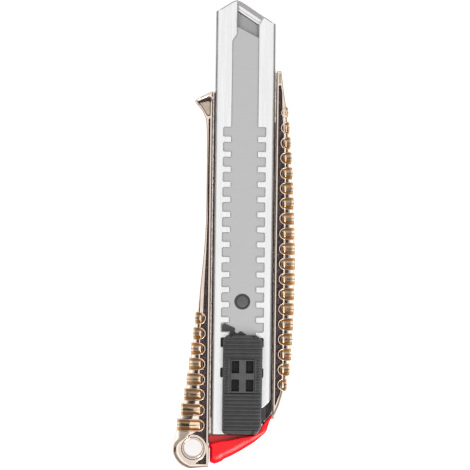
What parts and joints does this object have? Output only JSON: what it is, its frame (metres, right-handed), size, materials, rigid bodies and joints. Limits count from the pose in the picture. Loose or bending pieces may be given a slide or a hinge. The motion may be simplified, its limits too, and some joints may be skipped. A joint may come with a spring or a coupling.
{
  "type": "utility knife",
  "caption": "Snap-off utility knife with a plated metal grip, a folded steel blade channel, a locking thumb slide, and a magazine closed by a red end cap.",
  "frame": {"origin": "on the flat back, on the middle line of the blade channel, halfway along the grip (60 mm ahead of the channel's tail end)", "axes": "+Y towards the blade's tip, +Z out of the face, +X towards the blade's back (spine) side"},
  "size_m": [0.0408, 0.1591, 0.0173],
  "materials": {
    "plating": "polished rose-gold plating on a zinc casting, deeper gold on the grip tongues",
    "channel_steel": "fine brushing along the channel",
    "blade_steel": "satin ground",
    "spring_steel": "bright drawn",
    "black_plastic": "moulded matte black",
    "red_plastic": "smooth gloss red"
  },
  "bodies": {
    "handle": {"handle_body": "plating", "blade_channel": "channel_steel", "channel_rivet_front_left": "spring_steel", "channel_rivet_front_right": "spring_steel", "channel_rivet_tail": "spring_steel", "magazine_tray": "black_plastic", "magazine_spring": "spring_steel", "spare_blade_1": "blade_steel", "spare_blade_2": "blade_steel", "spare_blade_3": "blade_steel"},
    "cap": {"end_cap": "red_plastic"},
    "slider": {"blade_carrier": "black_plastic", "blade": "blade_steel", "blade_stud": "black_plastic", "latch_pin": "spring_steel", "button_spring": "spring_steel"},
    "button": {"thumb_button": "black_plastic", "button_insert": "black_plastic"},
    "latch": {"lock_latch": "black_plastic"}
  },
  "joints": [
    {"name": "cap_pull", "type": "slide", "parent": "handle", "child": "cap", "axis": [0, -1, 0], "range_m": [0, 0.03]},
    {"name": "blade_slide", "type": "slide", "parent": "handle", "child": "slider", "axis": [0, 1, 0], "range_m": [0, 0.0612]},
    {"name": "button_pull", "type": "slide", "parent": "slider", "child": "button", "axis": [0, -1, 0], "range_m": [0, 0.0016], "stiffness_N_per_m": 500, "springref_m": -0.002, "deforming": ["button_spring"]},
    {"name": "latch_turn", "type": "hinge", "parent": "slider", "child": "latch", "pos_m": [-0.0029, -0.0395, 0.0123], "axis": [0, 0, -1], "range_deg": [0, 10.5]}
  ],
  "couplings": [
    {"joint": "latch_turn", "follows": "button_pull", "rad_per_m": 114.5}
  ]
}
